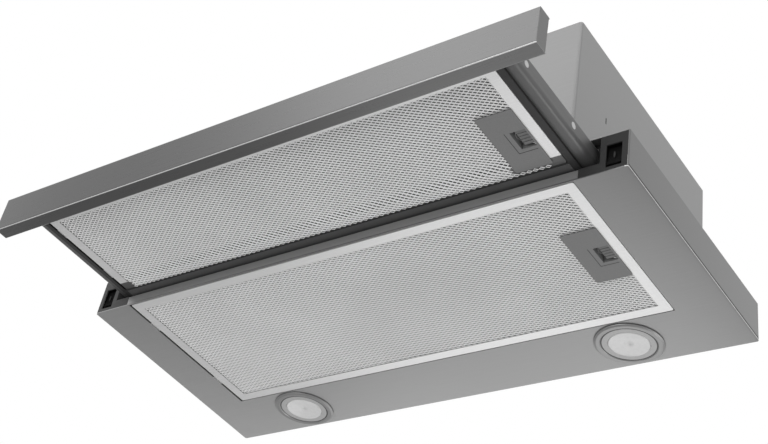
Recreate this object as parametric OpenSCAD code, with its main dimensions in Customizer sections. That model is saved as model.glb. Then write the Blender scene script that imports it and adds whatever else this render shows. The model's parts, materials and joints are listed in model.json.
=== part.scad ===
// Telescopic range hood, 60 cm class, with its visor pulled out.
// X runs across the hood, Y from the front to the rear, Z up. Inside the modules the
// origin is the tray's underside, on the centre line, in the plane of the tray's front.

/* [Tray] */
// Width of the tray and of the front panel
hood_w = 598; // [560:1:640]
// Depth of the tray
hood_d = 260; // [255:1:300]
// Height of the tray
tray_h = 40; // [40:1:50]
// Thickness of the folded steel sheet
sheet_t = 1; // [0.8:0.1:1.2]
// Width of the underside strip beside the rear filter
side_strip_w = 46.5; // [46:0.1:54]
// Depth of the underside strip behind the rear filter
rear_strip_d = 67.8; // [67:0.1:75]
// Height of the upturned bar in front of the rear filter
bar_h = 10; // [9:0.5:10]
// Depth of the seat that the upper housing stands in
seat_t = 0.2; // [0.1:0.1:0.3]
// Radius of the tray's upright corners
tray_r = 2; // [1.5:0.5:3]

/* [Upper housing] */
// Width of the upper housing
housing_w = 492; // [470:1:500]
// Height of the upper housing above the tray
housing_h = 152; // [150:1:170]
// Radius of its upright corners
housing_r = 3; // [2:0.5:5]
// Width of the flange that stands on the tray
flange_w = 12; // [10:0.5:14]
// Width of the slit in each side
slit_w = 2; // [1:0.5:3]
// Height of the slit
slit_h = 7; // [5:1:10]
// Distance of the slit behind the front
slit_y = 29; // [20:1:40]
// Mounting hole spacing across the top
bolt_dx = 360; // [300:5:400]
// Mounting hole spacing from front to rear
bolt_dy = 200; // [190:1:205]
// Diameter of a mounting hole
bolt_d = 5.5; // [4.5:0.5:6.5]

/* [Visor and front panel] */
// Travel of the visor
travel = 134.5; // [120:0.5:136]
// Gap left behind the front panel when the visor is shut
shut_gap = 0.5; // [0.5:0.1:2]
// Thickness of the front panel
panel_t = 15; // [12:0.5:20]
// Height of the front panel
panel_h = 39; // [36:0.5:40]
// Radius of the front panel's long edges
panel_r = 1.5; // [1:0.1:2]
// Depth of the bar behind the front filter
visor_bar_d = 22; // [18:1:26]
// Height of that bar's upturned front lip
visor_lip_h = 8; // [6:0.5:9]

/* [Slides] */
// Height of the fixed rail
rail_h = 27.2; // [26:0.1:27.4]
// Wall of the rail, the runner and the cage's seat
rail_t = 0.8; // [0.7:0.1:1]
// Depth of the runner, from its web to its feet
runner_d = 11; // [10:0.5:12]
// Radius of the rail's and the runner's rounded edges
runner_r = 4.5; // [3:0.5:5]
// Ball diameter
ball_d = 2.4; // [2.2:0.1:2.6]
// Balls in a row
ball_n = 6; // [4:1:7]
// Length of the ball cage
cage_l = 68; // [60:1:70]
// Part of the runner that stays in the rail when the visor is out
hold_l = 80; // [78:1:84]
// Length of the rail behind its end stop
rail_tail = 9.2; // [8:0.2:12]
// Rivet head diameter
rivet_d = 6.4; // [5:0.2:7]

/* [Filters] */
// Thickness of a filter cassette
filter_t = 8; // [7.5:0.1:8]
// Width of the frame's visible face
frame_w = 10; // [8:0.5:12]
// Wall of the frame's channel
frame_t = 0.8; // [0.6:0.1:1]
// Gap at the left and right ends of a cassette
filter_gap = 2.7; // [2.5:0.1:3]
// Gap between a shut filter and the opening's edge at its latch
latch_gap = 0.6; // [0.5:0.1:1.5]
// Gap at the front and rear of a cassette
filter_end_gap = 1; // [0.8:0.1:1.2]
// Thickness of an expanded mesh sheet
mesh_t = 0.8; // [0.6:0.1:1]
// Pitch of the lower mesh's openings across the hood
mesh_pitch = 20; // [19:0.5:28]
// Width of a mesh strand
strand_w = 3.2; // [2.4:0.1:4]
// Folds of the filter core
fold_n = 44; // [30:1:50]
// Hinge tab length beyond the frame
tab_l = 4.5; // [4.2:0.1:4.8]

/* [Filter latch] */
// Width of the handle plate
handle_w = 34; // [32:0.5:36]
// Length of the handle plate
handle_l = 70; // [64:1:76]
// Distance from the handle plate to the filter's right end
handle_in = 10; // [9:0.5:12]
// Thickness of the handle plate
handle_t = 0.8; // [0.7:0.1:0.9]
// Width of the finger pocket
pocket_w = 14; // [13:0.5:16]
// Length of the finger pocket
pocket_l = 21; // [20:1:30]
// Travel of the latch
latch_travel = 4; // [3:0.5:4]
// Width of the latch bolt
bolt_w = 12; // [10:0.5:16]

/* [Switches] */
// Depth of the plastic switch housing
switch_d = 34; // [32:1:40]
// Width of the rocker opening
rocker_w = 14; // [13:0.5:15]
// Height of the rocker opening
rocker_h = 24; // [22:0.5:25]
// Distance from the opening to the tray's side
rocker_in = 6; // [5:0.5:7]
// Height of the opening's lower edge
rocker_z = 4.5; // [4:0.5:6]
// Swing of a rocker, end to end
rocker_swing = 16; // [12:1:18]

/* [Lamps] */
// Distance of a lamp from the tray's side
lamp_side = 109; // [95:1:120]
// Distance of a lamp from the rear wall
lamp_in = 34; // [33.9:0.1:36]
// Outer diameter of the lamp ring
ring_d = 65; // [62:1:65]
// Diameter of the lamp hole
lamp_hole_d = 57.5; // [56:0.5:58]
// Height of the ring below the tray
ring_proud = 2; // [1.5:0.1:3]
// Diameter of the glass
glass_d = 51; // [48:0.5:52]

/* [Outlet] */
// Outer diameter of the outlet collar
collar_d = 119; // [110:1:122]
// Height of the collar above the housing
collar_h = 38; // [34:1:50]
// Wall of the collar
collar_t = 2.5; // [2:0.1:3]
// Thickness of the collar's foot
collar_foot = 2.5; // [2:0.5:3]
// Diameter of the flap pin
pin_d = 3; // [2.5:0.1:3.5]
// Thickness of a flap
flap_t = 1.2; // [1:0.1:1.6]

/* [Blower] */
// Diameter of the impeller
wheel_d = 108; // [100:1:110]
// Length of the impeller
wheel_l = 88; // [80:1:92]
// Blades on the impeller
blade_n = 36; // [24:1:40]
// Width of the scroll
scroll_w = 120; // [116:1:130]
// Wall of the scroll
scroll_t = 2; // [1.8:0.1:2.4]
// Height of the impeller shaft above the tray's underside
shaft_z = 117; // [116:0.5:119]
// Distance of the shaft behind the front
shaft_y = 105; // [95:1:120]
// Diameter of the shaft
shaft_d = 8; // [6:0.5:10]
// Diameter of the motor
motor_d = 68; // [60:1:70]

/* [Hidden] */

$fn = 64;
// Overrun of every cut
over = 1;
// Gap between fitted pieces of one body
fit = 0.1;
// Running gap between moving pieces
run = 0.3;

// The tray's underside opening, and what lines up with it
open_hw = hood_w / 2 - side_strip_w;
open_y1 = hood_d - rear_strip_d;
bar_end = 2.1;
filter_hw = open_hw - filter_gap;
latch_x = filter_hw + latch_gap;
rear_y0 = sheet_t + filter_end_gap;
rear_y1 = open_y1 - filter_end_gap;
lamp_y = hood_d - lamp_in;
lamp_x = hood_w / 2 - lamp_side;

// The visor hangs clear above the rear filter and below the tray's top
visor_lift = 2;
visor_top_gap = 1;
visor_ledge = 3.3;
visor_z0 = bar_h + visor_lift;
visor_z1 = tray_h - sheet_t - visor_top_gap;
visor_in = open_hw + visor_ledge;
visor_out = visor_in + sheet_t;
panel_y1 = -travel - shut_gap;
panel_y0 = panel_y1 - panel_t;
panel_z0 = (tray_h - panel_h) / 2;
visor_y0 = panel_y1 + fit;
visor_y1 = 12;
front_y0 = visor_y0 + sheet_t + run;
front_y1 = visor_y1 - visor_bar_d - run;

// Slides, seen along Y
slide_z = (visor_z0 + visor_z1) / 2;
race = ball_d + 2 * fit;
runner_h = rail_h - 2 * rail_t - 2 * race;
runner_x0 = visor_out + fit;
runner_x1 = runner_x0 + runner_d;
web_gap = 1;
rail_x1 = runner_x1 + web_gap + rail_t;
rail_lip = 3.5;
rail_x0 = runner_x0 + rail_lip;
rail_y0 = 6;
runner_y0 = visor_y0 + run;
runner_y1 = hold_l;
cage_t = 0.4;
cage_in = 2;
cage_y0 = rail_y0 + cage_in;
stop_l = 6;
stop_y0 = runner_y1 + travel + run;
rail_y1 = stop_y0 + stop_l + rail_tail;
rivet_shares = [0.17, 0.74];
rivet_ys = [for (s = rivet_shares) panel_y1 * (1 - s)];
rivet_head = 0.7;
rivet_shank_share = 0.62;
bracket_t = 1.2;
bracket_w = 18;

// Filters, in a frame whose bottom is at zero
tab_w = 14;
tab_t = 1.2;
tab_z0 = sheet_t + run;
tab_shares = [0.22, 0.78];
rear_handle_y = 96;
front_handle_share = 0.68;
handle_x1 = filter_hw - handle_in;
handle_x0 = handle_x1 - handle_w;
plate_x1 = handle_x1;
pocket_wall = 1.2;
pocket_x1 = filter_hw - frame_w - pocket_wall - fit;
pocket_x0 = pocket_x1 - pocket_w;
pocket_z1 = filter_t - frame_t;
hole_x0 = pocket_x0 - pocket_wall - run;
hole_l = pocket_l + 2 * pocket_wall + 2 * run;
bolt_t = 1.6;
bolt_z0 = pocket_z1 - pocket_wall - run - bolt_t;
slot_w = 0.8;
thumb_ribs = 4;
thumb_x0 = pocket_x0 + latch_travel + slot_w;
thumb_gap = 3.5;
bolt_tip = latch_x - run;
spring_t = 0.5;
spring_w = 4;

// Switch corner
switch_x0 = visor_in - sheet_t;
switch_x1 = hood_w / 2 - sheet_t - fit;
pocket_under = 1.2;
pocket_beside = 3.9;
rocker_x1 = hood_w / 2 - rocker_in;
rocker_x0 = rocker_x1 - rocker_w;
rocker_cz = rocker_z + rocker_h / 2;
rocker_gap = 0.4;
rocker_pin_d = 3;
rocker_face = 5.4;
rocker_pin_y = 7.2;
switch_wall = 1.2;
switch_case_l = 22;

// Lamp
sleeve_t = 2.4;
sleeve_h = 12;
glass_t = 2.6;
glass_sink = 0.8;
module_h = 22;
fin_n = 9;

// Housing top and outlet
top_z = tray_h + housing_h;
house_hw = housing_w / 2;
base_z = tray_h - seat_t;
collar_y = 134;
duct_r = collar_d / 2 - collar_t;
foot_w = 146;
foot_r = 14;
flap_rise = 9;
flap_z = top_z + collar_foot + flap_rise;
flap_r = duct_r - run;
ledge_w = 3;
knuckle_wall = 1.3;
knuckle_r = pin_d / 2 + knuckle_wall;
knuckle_n = 6;
rivet_r = 2;

// Blower
wheel_r = wheel_d / 2;
blade_d = 11;
blade_t = 1;
scroll_gap = 5;
scroll_grow = 19;
tongue_a = 20;
tail_a = 270;
inlet_r = 44;
lip_r = 6;
hub_r = 11;
plate_x = -22;
plate_t = 2;
motor_x0 = -8;
motor_l = 70;

front_y = panel_y0;
mid_y = (hood_d + front_y) / 2;

steel = [0.62, 0.62, 0.61];
zinc = [0.70, 0.71, 0.72];
alu = [0.78, 0.78, 0.77];
dark = [0.20, 0.20, 0.21];
grey = [0.45, 0.46, 0.46];
black = [0.07, 0.07, 0.07];
frost = [0.88, 0.89, 0.90];
white = [0.90, 0.90, 0.88];

// Puts a piece in the part's own frame: lowest point at zero, centred front to rear
module placed() {
    translate([0, -mid_y, ring_proud]) children();
}

module box(x0, x1, y0, y1, z0, z1) {
    translate([x0, y0, z0]) cube([x1 - x0, y1 - y0, z1 - z0]);
}

// Rectangle with round corners, centred
module round_rect(w, h, r) {
    square([w - 2 * r, h], center = true);
    square([w, h - 2 * r], center = true);
    for (x = [-1, 1], y = [-1, 1]) translate([x * (w / 2 - r), y * (h / 2 - r)]) circle(r);
}

// Upright block with round corners, from y0 to y1
module round_block(hw, y0, y1, z0, z1, r) {
    translate([0, (y0 + y1) / 2, z0]) linear_extrude(z1 - z0) round_rect(2 * hw, y1 - y0, r);
}

module along_x(x0, x1) {
    translate([x0, 0, 0]) rotate([90, 0, 90]) linear_extrude(x1 - x0) children();
}

module along_y(y0, y1) {
    translate([0, y1, 0]) rotate([90, 0, 0]) linear_extrude(y1 - y0) children();
}

// Left copy of a piece drawn on the right
module left() {
    mirror([1, 0, 0]) children();
}

module pin_x(x0, x1, d) {
    translate([x0, 0, 0]) rotate([0, 90, 0]) cylinder(h = x1 - x0, d = d);
}

// Tray: a folded pan, open at the front for the visor, with the filter opening below
module tray() {
    color(steel) placed() difference() {
        union() {
            difference() {
                round_block(hood_w / 2, 0, hood_d, 0, tray_h, tray_r);
                round_block(hood_w / 2 - sheet_t, sheet_t, hood_d - sheet_t, sheet_t,
                            tray_h - sheet_t, tray_r - sheet_t / 2);
                box(-hood_w / 2 + sheet_t, hood_w / 2 - sheet_t, -over, tray_r + over,
                    sheet_t, tray_h - sheet_t);
                box(-open_hw, latch_x, sheet_t, open_y1, -over, sheet_t + over);
            }
            box(-open_hw - bar_end, open_hw + bar_end, 0, sheet_t, 0, bar_h);
        }
        box(-house_hw + flange_w, house_hw - flange_w, flange_w, hood_d - flange_w,
            tray_h - sheet_t - over, tray_h + over);
        box(-house_hw - fit, house_hw + fit, -over, hood_d + over, base_z, tray_h + over);
        for (x = [-1, 1]) translate([x * lamp_x, lamp_y, -over])
            cylinder(h = sheet_t + 2 * over, d = lamp_hole_d);
        rivet_places() translate([0, 0, tray_h - sheet_t - over])
            cylinder(h = sheet_t + 2 * over, r = rivet_r + fit);
    }
}

// Places of the rivets that join the housing's flange to the tray
module rivet_places() {
    for (x = [-1, 1], s = [0.15, 0.5, 0.85])
        translate([x * (house_hw - flange_w / 2), hood_d * s, 0]) children();
    for (x = [-0.7, 0, 0.7]) translate([x * house_hw, hood_d - flange_w / 2, 0]) children();
}

module housing_rivets() {
    color(zinc) placed() rivet_places() {
        translate([0, 0, tray_h - sheet_t]) cylinder(h = 2 * sheet_t, r = rivet_r);
        translate([0, 0, base_z + sheet_t]) difference() {
            sphere(r = 2 * rivet_r);
            translate([-3 * rivet_r, -3 * rivet_r, -3 * rivet_r])
                cube([6 * rivet_r, 6 * rivet_r, 3 * rivet_r]);
            translate([-3 * rivet_r, -3 * rivet_r, rivet_r])
                cube([6 * rivet_r, 6 * rivet_r, 3 * rivet_r]);
        }
    }
}

// Upper housing: box of folded sheet, open below
module housing() {
    color(steel) placed() difference() {
        round_block(house_hw, 0, hood_d, base_z, top_z, housing_r);
        round_block(house_hw - sheet_t, sheet_t, hood_d - sheet_t, base_z + sheet_t,
                    top_z - sheet_t, housing_r - sheet_t);
        box(-house_hw + flange_w, house_hw - flange_w, flange_w, hood_d - flange_w,
            base_z - over, base_z + sheet_t + over);
        rivet_places() translate([0, 0, base_z - over])
            cylinder(h = sheet_t + 2 * over, r = rivet_r + fit);
        translate([0, collar_y, top_z - sheet_t - over])
            cylinder(h = sheet_t + 2 * over, r = duct_r);
        for (x = [-1, 1], y = [-1, 1])
            translate([x * bolt_dx / 2, hood_d / 2 + y * bolt_dy / 2, top_z - sheet_t - over])
                cylinder(h = sheet_t + 2 * over, d = bolt_d);
        translate([gland_x, gland_y, top_z - sheet_t - over])
            cylinder(h = sheet_t + 2 * over, r = gland_r + fit);
        for (x = [-1, 1]) translate([x * house_hw, slit_y, tray_h + slit_h])
            cube([4 * sheet_t, slit_w, slit_h], center = true);
    }
}

gland_x = 165;
gland_y = 70;
gland_r = 8;

// Outlet collar with its foot and the ring that the flaps rest on
module outlet_collar() {
    z0 = top_z;
    color(dark) placed() translate([0, collar_y, 0]) difference() {
        union() {
            translate([0, 0, z0]) linear_extrude(collar_foot) round_rect(foot_w, foot_w, foot_r);
            translate([0, 0, z0]) cylinder(h = collar_h, d = collar_d);
        }
        translate([0, 0, flap_z - knuckle_r]) cylinder(h = collar_h, r = duct_r);
        translate([0, 0, z0 - over]) cylinder(h = collar_h, r = duct_r - ledge_w);
        translate([0, 0, flap_z]) pin_x(-collar_d, collar_d, pin_d + 2 * fit);
    }
}

module flap_pin() {
    color(zinc) placed() translate([0, collar_y, flap_z])
        pin_x(-collar_d / 2 + fit, collar_d / 2 - fit, pin_d);
}

// Half-round flap; its knuckles take every other place along the pin
module flap(side, first) {
    pitch = 2 * (flap_r - 2 * ledge_w) / knuckle_n;
    start = -flap_r + 2 * ledge_w;
    difference() {
        union() {
            difference() {
                translate([0, 0, -knuckle_r + run])
                    cylinder(h = flap_t, r = flap_r);
                box(-flap_r - over, flap_r + over, -side * flap_r - flap_r - over,
                    -side * flap_r + flap_r + over + side * (knuckle_r - over + run),
                    -2 * knuckle_r, 2 * knuckle_r);
                if (side < 0) box(-flap_r - over, flap_r + over, -knuckle_r - run, 2 * flap_r,
                                  -2 * knuckle_r, 2 * knuckle_r);
                if (side > 0) box(-flap_r - over, flap_r + over, -2 * flap_r, knuckle_r + run,
                                  -2 * knuckle_r, 2 * knuckle_r);
            }
            for (i = [first : 2 : knuckle_n - 1]) {
                x0 = start + i * pitch + run;
                x1 = start + (i + 1) * pitch - run;
                pin_x(x0, x1, 2 * knuckle_r - 2 * run);
                box(x0, x1, min(0, side * (knuckle_r + 2 * run)),
                    max(0, side * (knuckle_r + 2 * run)), -knuckle_r + run,
                    -knuckle_r + run + flap_t);
            }
        }
        pin_x(-flap_r - over, flap_r + over, pin_d + 2 * fit);
    }
}

module flap_front() {
    color(grey) placed() translate([0, collar_y, flap_z]) flap(-1, 0);
}

module flap_rear() {
    color(grey) placed() translate([0, collar_y, flap_z]) flap(1, 1);
}

// Scroll outline: a spiral that grows from the tongue to the tail, then rises to the outlet.
// Angles run from straight up towards the front, round the bottom, to the rear.
function scroll_r(a) = wheel_r + scroll_gap + scroll_grow * (a - tongue_a) / (tail_a - tongue_a);
function scroll_points(t, z1) = concat(
    [for (a = [tongue_a : 5 : tail_a])
        [shaft_y - (scroll_r(a) + t) * sin(a), shaft_z + (scroll_r(a) + t) * cos(a)]],
    [[shaft_y + scroll_r(tail_a) + t, z1],
     [shaft_y - (scroll_r(tongue_a) + t) * sin(tongue_a) - t / 2, z1]]);

module scroll_right() {
    z1 = top_z - sheet_t - fit;
    color(grey) placed() difference() {
        union() {
            along_x(fit / 2, scroll_w / 2) polygon(scroll_points(scroll_t, z1));
            translate([scroll_w / 2 - lip_r, shaft_y, shaft_z]) rotate([0, 90, 0])
                rotate_extrude() translate([inlet_r + lip_r / 2, 0]) difference() {
                    translate([-lip_r / 2, 0]) square([lip_r, lip_r + lip_r / 2]);
                    translate([lip_r / 2, 0]) circle(lip_r - scroll_t);
                }
            box(fit / 2, scroll_w / 2 + 2 * scroll_t, shaft_y - wheel_r / 2,
                shaft_y + scroll_r(tail_a) + 2 * scroll_t, z1 - scroll_t, z1);
        }
        along_x(-over, scroll_w / 2 - scroll_t) polygon(scroll_points(0, z1 + over));
        translate([0, shaft_y, shaft_z]) pin_x(-over, scroll_w, 2 * inlet_r);
    }
}

module scroll_left() {
    left() scroll_right();
}

// One forward-curved blade, from the inner to the outer radius
function blade_point(s, side) =
    let (r = wheel_r - blade_d + blade_d * s, a = 16 * s * s - 4 * s + side * blade_t / r * 28)
    [r * cos(a), r * sin(a)];
blade_shares = [0, 0.25, 0.5, 0.75, 1];

module impeller() {
    color(zinc) placed() translate([0, shaft_y, shaft_z]) difference() {
        union() {
            for (i = [0 : blade_n - 1]) rotate([i * 360 / blade_n, 0, 0])
                along_x(-wheel_l / 2, wheel_l / 2)
                    polygon(concat([for (s = blade_shares) blade_point(s, -1)],
                                   [for (i = [len(blade_shares) - 1 : -1 : 0])
                                       blade_point(blade_shares[i], 1)]));
            pin_x(plate_x, plate_x + plate_t, wheel_d - blade_t);
            pin_x(plate_x - 3 * plate_t, plate_x + 4 * plate_t, 2 * hub_r);
            for (x = [-wheel_l / 2, wheel_l / 2 - plate_t]) difference() {
                pin_x(x, x + plate_t, wheel_d + plate_t);
                pin_x(x - over, x + plate_t + over, wheel_d - blade_d / 2);
            }
        }
        pin_x(-wheel_l, wheel_l, shaft_d + 2 * fit);
    }
}

module motor_shaft() {
    color(zinc) placed() translate([0, shaft_y, shaft_z])
        pin_x(plate_x - 4 * plate_t, motor_x0 + motor_l / 2, shaft_d);
}

module motor() {
    color(zinc) placed() translate([0, shaft_y, shaft_z]) difference() {
        union() {
            pin_x(motor_x0, motor_x0 + motor_l * 0.25, motor_d * 0.8);
            pin_x(motor_x0 + motor_l * 0.25, motor_x0 + motor_l * 0.75, motor_d);
            pin_x(motor_x0 + motor_l * 0.75, motor_x0 + motor_l, motor_d * 0.8);
        }
        pin_x(motor_x0 - over, motor_x0 + motor_l / 2 + run, shaft_d + 2 * run);
        for (i = [0 : 11]) rotate([i * 30, 0, 0])
            box(motor_x0 + motor_l * 0.3, motor_x0 + motor_l * 0.7, motor_d * 0.47, motor_d,
                -motor_d * 0.04, motor_d * 0.04);
    }
}

// Three-armed bracket between the motor and the scroll's right side
module motor_bracket() {
    x0 = scroll_w / 2 + scroll_t / 2 + lip_r / 2;
    color(zinc) placed() translate([0, shaft_y, shaft_z]) difference() {
        union() {
            pin_x(motor_x0 + motor_l * 0.75 + fit, x0 + plate_t, motor_d * 0.8 + 6 * plate_t);
            for (a = [60, 180, 300]) rotate([a, 0, 0]) {
                box(x0, x0 + plate_t, 0, inlet_r + 3 * lip_r, -lip_r, lip_r);
                box(scroll_w / 2 + fit, x0 + plate_t, inlet_r + 2 * lip_r, inlet_r + 3 * lip_r,
                    -lip_r, lip_r);
            }
        }
        pin_x(0, scroll_w, motor_d * 0.8 + 2 * fit);
    }
}

cap_x = -150;
cap_y = 70;
cap_r = 16;
cap_l = 52;

module capacitor() {
    color(white) placed() translate([cap_x, cap_y, top_z - sheet_t - fit - cap_l]) {
        cylinder(h = cap_l, r = cap_r);
        for (x = [-1, 1]) translate([x * cap_r / 2, 0, -cap_r / 3])
            cube([cap_r / 8, cap_r / 3, cap_r / 1.5], center = true);
    }
}

driver_l = 110;
driver_w = 36;
driver_h = 22;

module led_driver() {
    z1 = top_z - sheet_t - fit;
    color(white) placed() difference() {
        box(cap_x - driver_l / 2, cap_x + driver_l / 2, hood_d - 2 * driver_w,
            hood_d - driver_w, z1 - driver_h, z1);
        for (s = [0.3, 0.4, 0.5, 0.6, 0.7])
            box(cap_x + driver_l * (s - 0.5), cap_x + driver_l * (s - 0.47),
                hood_d - 2 * driver_w - over, hood_d - 1.8 * driver_w,
                z1 - driver_h * 0.8, z1 - driver_h * 0.2);
    }
}

term_l = 70;
term_w = 48;
term_h = 30;

// Terminal box: a tub and its lid's rim, screwed under the housing's top
module terminal_box() {
    z1 = top_z - sheet_t - fit;
    color(dark) placed() difference() {
        box(gland_x - term_l / 2, gland_x + term_l / 2, gland_y - term_w / 2,
            gland_y + term_w / 2, z1 - term_h, z1);
        box(gland_x - term_l / 2 + 2 * scroll_t, gland_x + term_l / 2 - 2 * scroll_t,
            gland_y - term_w / 2 + 2 * scroll_t, gland_y + term_w / 2 - 2 * scroll_t,
            z1 - term_h + scroll_t, z1 - scroll_t);
        translate([gland_x, gland_y, z1 - 2 * scroll_t])
            cylinder(h = term_h, r = gland_r + fit);
    }
}

module cable_gland() {
    color(black) placed() translate([gland_x, gland_y, 0]) difference() {
        union() {
            translate([0, 0, top_z - sheet_t - 2 * scroll_t])
                cylinder(h = gland_r + 2 * scroll_t, r = gland_r);
            translate([0, 0, top_z + fit]) cylinder(h = gland_r / 2, r = gland_r * 1.4, $fn = 6);
            translate([0, 0, top_z + gland_r / 2])
                cylinder(h = gland_r, r1 = gland_r * 1.15, r2 = gland_r * 0.75);
        }
        translate([0, 0, top_z - gland_r]) cylinder(h = 4 * gland_r, r = gland_r * 0.45);
    }
}

// Switch housing: fills the tray's front corner, with a pocket for the slide
module switch_housing_right() {
    z0 = sheet_t + fit;
    z1 = tray_h - sheet_t - fit;
    color(dark) placed() difference() {
        box(switch_x0, switch_x1, 0, switch_d, z0, z1);
        box(switch_x0 - over, rail_x1 + pocket_beside, -over, switch_d + over,
            visor_z0 - pocket_under, tray_h);
        box(rocker_x0, rocker_x1, -over, switch_wall + over, rocker_z, rocker_z + rocker_h);
        box(rocker_x0 - switch_wall, rocker_x1 + switch_wall, switch_wall, switch_d + over,
            rocker_z - switch_wall, rocker_z + rocker_h + switch_wall);
    }
}

module switch_housing_left() {
    left() switch_housing_right();
}

// Switch body behind the opening, with the rocker's bearing and two terminals
module switch_body_right() {
    y0 = switch_wall + fit;
    w = rocker_w / 2 + switch_wall - fit;
    h = rocker_h / 2 + switch_wall - fit;
    cx = (rocker_x0 + rocker_x1) / 2;
    color(black) placed() translate([cx, 0, rocker_cz]) {
        difference() {
            box(-w, w, y0, y0 + switch_case_l, -h, h);
            box(-rocker_w / 2 + fit, rocker_w / 2 - fit, -over, y0 + switch_case_l / 2,
                -rocker_h / 2 + fit, rocker_h / 2 - fit);
            translate([0, rocker_pin_y, 0]) pin_x(-w - over, w + over, rocker_pin_d + 2 * fit);
        }
        for (z = [-1, 1]) box(-rocker_pin_d / 6, rocker_pin_d / 6, y0 + switch_case_l - fit,
                              y0 + switch_case_l + rocker_w / 2, z * h / 2 - rocker_pin_d / 2,
                              z * h / 2 + rocker_pin_d / 2);
    }
}

module switch_body_left() {
    left() switch_body_right();
}

// Rocker: two flat faces that meet in a shallow valley, tilted to one end at rest
module rocker() {
    hh = rocker_h / 2 - rocker_gap - fit;
    cx = (rocker_x0 + rocker_x1) / 2;
    hw = rocker_w / 2 - rocker_gap - fit;
    color(black) placed() translate([cx, rocker_pin_y, rocker_cz])
        rotate([-rocker_swing / 2, 0, 0]) {
            along_x(-hw, hw) polygon([
                [-rocker_face, -hh * 0.86], [-rocker_face * 0.88, 0],
                [-rocker_face, hh * 0.86], [-rocker_face * 0.7, hh * 0.9],
                [-rocker_face * 0.3, hh * 0.86], [rocker_pin_d * 0.6, rocker_pin_d * 0.9],
                [rocker_pin_d * 0.6, -rocker_pin_d * 0.9], [-rocker_face * 0.3, -hh * 0.86],
                [-rocker_face * 0.7, -hh * 0.9]]);
            pin_x(-hw - switch_wall, hw + switch_wall, rocker_pin_d);
        }
}

module rocker_light() {
    rocker();
}

module rocker_fan() {
    left() rocker();
}

// Lamp ring: a round bezel with a step for the glass and a sleeve through the tray
module lamp_ring_right() {
    rs = lamp_hole_d / 2 - run;
    rg = glass_d / 2 + fit;
    color(zinc) placed() translate([lamp_x, lamp_y, 0]) rotate_extrude() difference() {
        union() {
            translate([rg - sleeve_t / 2, -ring_proud]) square([ring_d / 2 - rg, ring_proud - fit]);
            translate([ring_d / 2 - sleeve_t, -ring_proud / 2 - fit / 2])
                square([sleeve_t, ring_proud / 2 - fit / 2]);
            translate([rs - sleeve_t, -ring_proud]) square([sleeve_t, sleeve_h + ring_proud]);
        }
        translate([0, glass_sink - ring_proud]) square([rg, sleeve_h + over + ring_proud]);
    }
}

module lamp_ring_left() {
    left() lamp_ring_right();
}

// Frosted glass with a shallow dome
module lamp_glass_right() {
    dome = glass_d * 4;
    z0 = glass_sink - ring_proud + fit;
    color(frost) placed() translate([lamp_x, lamp_y, 0]) intersection() {
        translate([0, 0, z0]) cylinder(h = glass_t, d = glass_d);
        translate([0, 0, z0 + dome]) sphere(r = dome, $fn = 128);
    }
}

module lamp_glass_left() {
    left() lamp_glass_right();
}

// LED module: a plate behind the glass with a finned heat sink
module lamp_module_right() {
    z0 = glass_sink - ring_proud + 2 * fit + glass_t;
    rm = glass_d / 2 - 2 * fit;
    pitch = 2 * rm / fin_n;
    color(zinc) placed() translate([lamp_x, lamp_y, z0]) difference() {
        cylinder(h = module_h, r = rm);
        for (i = [0 : fin_n - 1])
            box(-rm - over, rm + over, -rm + (i + 0.3) * pitch, -rm + (i + 0.8) * pitch,
                module_h / 3, module_h + over);
    }
}

module lamp_module_left() {
    left() lamp_module_right();
}

// Two leaf clips a lamp press the ring up against the tray
module lamp_clips() {
    rs = lamp_hole_d / 2 - run;
    clip_w = 8;
    color(zinc) placed() for (lamp = [-1, 1], side = [-1, 1])
        translate([lamp * lamp_x, lamp_y, 0]) rotate([0, 0, side * 90 + 90])
            translate([0, clip_w / 2, 0]) rotate([90, 0, 0]) linear_extrude(clip_w)
                polygon([[rs + fit, sleeve_h], [rs + fit, sleeve_h - sleeve_t],
                         [rs + 3 * sleeve_t, sheet_t + run],
                         [rs + 4 * sleeve_t, sheet_t + run],
                         [rs + 4 * sleeve_t, sheet_t + run + rail_t],
                         [rs + 3 * sleeve_t + rail_t, sheet_t + run + rail_t],
                         [rs + fit + rail_t, sleeve_h]]);
}

// Channel profile, open towards the centre line, seen along Y
module channel(x0, x1, h, t, r) {
    difference() {
        union() {
            translate([x0, -h / 2]) square([x1 - r - x0, h]);
            translate([x0, -h / 2 + r]) square([x1 - x0, h - 2 * r]);
            for (z = [-1, 1]) translate([x1 - r, z * (h / 2 - r)]) circle(r);
        }
        translate([x0 - over, -h / 2 + t]) square([x1 - r - x0 + over, h - 2 * t]);
        translate([x0 - 2 * r, -h]) square([2 * r, 2 * h]);
        translate([x0, -h / 2 + r]) square([x1 - t - x0, h - 2 * r]);
        for (z = [-1, 1]) translate([x1 - r, z * (h / 2 - r)]) circle(r - t);
    }
}

module rail_right() {
    color(zinc) placed() translate([0, 0, slide_z]) along_y(rail_y0, rail_y1)
        channel(rail_x0, rail_x1, rail_h, rail_t, runner_r + race / 2);
}

module rail_left() {
    left() rail_right();
}

// Angle brackets that hang the rails from the tray's top
module rail_brackets() {
    y0 = switch_d + switch_wall;
    z1 = tray_h - sheet_t - fit;
    color(zinc) placed() for (side = [0, 1]) mirror([side, 0, 0])
        for (y = [y0, (y0 + rail_y1) / 2 - bracket_w / 2, rail_y1 - bracket_w]) {
            box(rail_x1 + fit, rail_x1 + fit + bracket_t, y, y + bracket_w,
                slide_z - rail_h / 4, z1);
            box(rail_x1 + fit, rail_x1 + bracket_w, y, y + bracket_w, z1 - bracket_t, z1);
        }
}

module rail_stops() {
    color(black) placed() for (side = [0, 1]) mirror([side, 0, 0])
        box(rail_x0, rail_x1 - rail_t - fit, stop_y0, stop_y0 + stop_l,
            slide_z - rail_h / 2 + rail_t + runner_r, slide_z + rail_h / 2 - rail_t - runner_r);
}

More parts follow.
